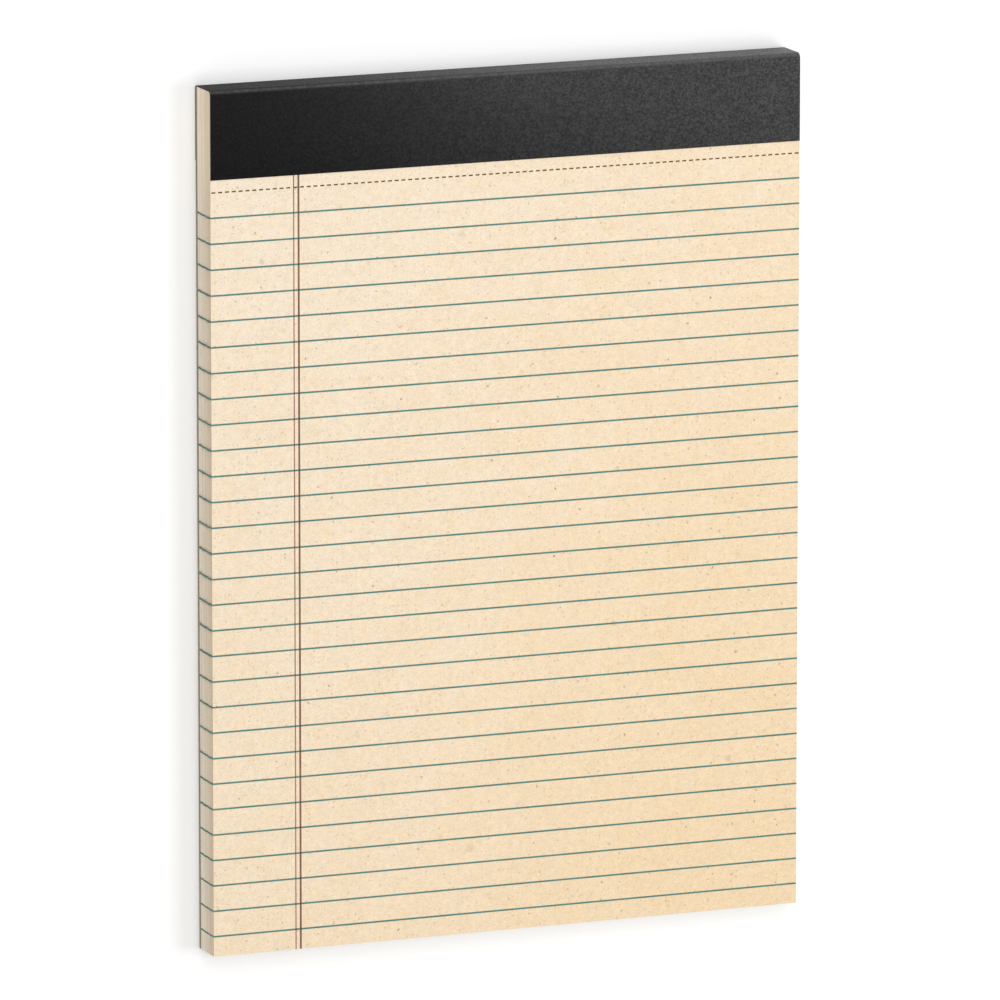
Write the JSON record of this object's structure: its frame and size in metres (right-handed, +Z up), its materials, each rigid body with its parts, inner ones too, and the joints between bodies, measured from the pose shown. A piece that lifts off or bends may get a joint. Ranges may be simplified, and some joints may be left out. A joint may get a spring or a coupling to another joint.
{
  "type": "legal pad",
  "caption": "Ruled natural-coloured legal pad with perforated tear-off sheets on a chipboard back, stapled and bound at the head with black tape.",
  "frame": {"origin": "centre of the pad's outer size, on the plane that it lies on", "axes": "+X to the right as the page is read, +Y towards the taped head, +Z up out of the front page"},
  "size_m": [0.216, 0.2988, 0.0145],
  "materials": {
    "natural_paper": "uncoated writing paper, cream to tan, with fine darker fibres",
    "chipboard": "unbleached grey-brown board",
    "black_tape": "matte black binding paper with a fine grain",
    "rule_ink": "grey-green ink printed on the sheets",
    "margin_ink": "brown-red ink printed on the sheets",
    "staple_wire": "galvanised flat wire"
  },
  "bodies": {
    "root": {"page_block": "natural_paper", "backing_board": "chipboard", "binding_tape": "black_tape", "rule_lines": "rule_ink", "margin_lines": "margin_ink", "staples": "staple_wire"}
  },
  "joints": []
}
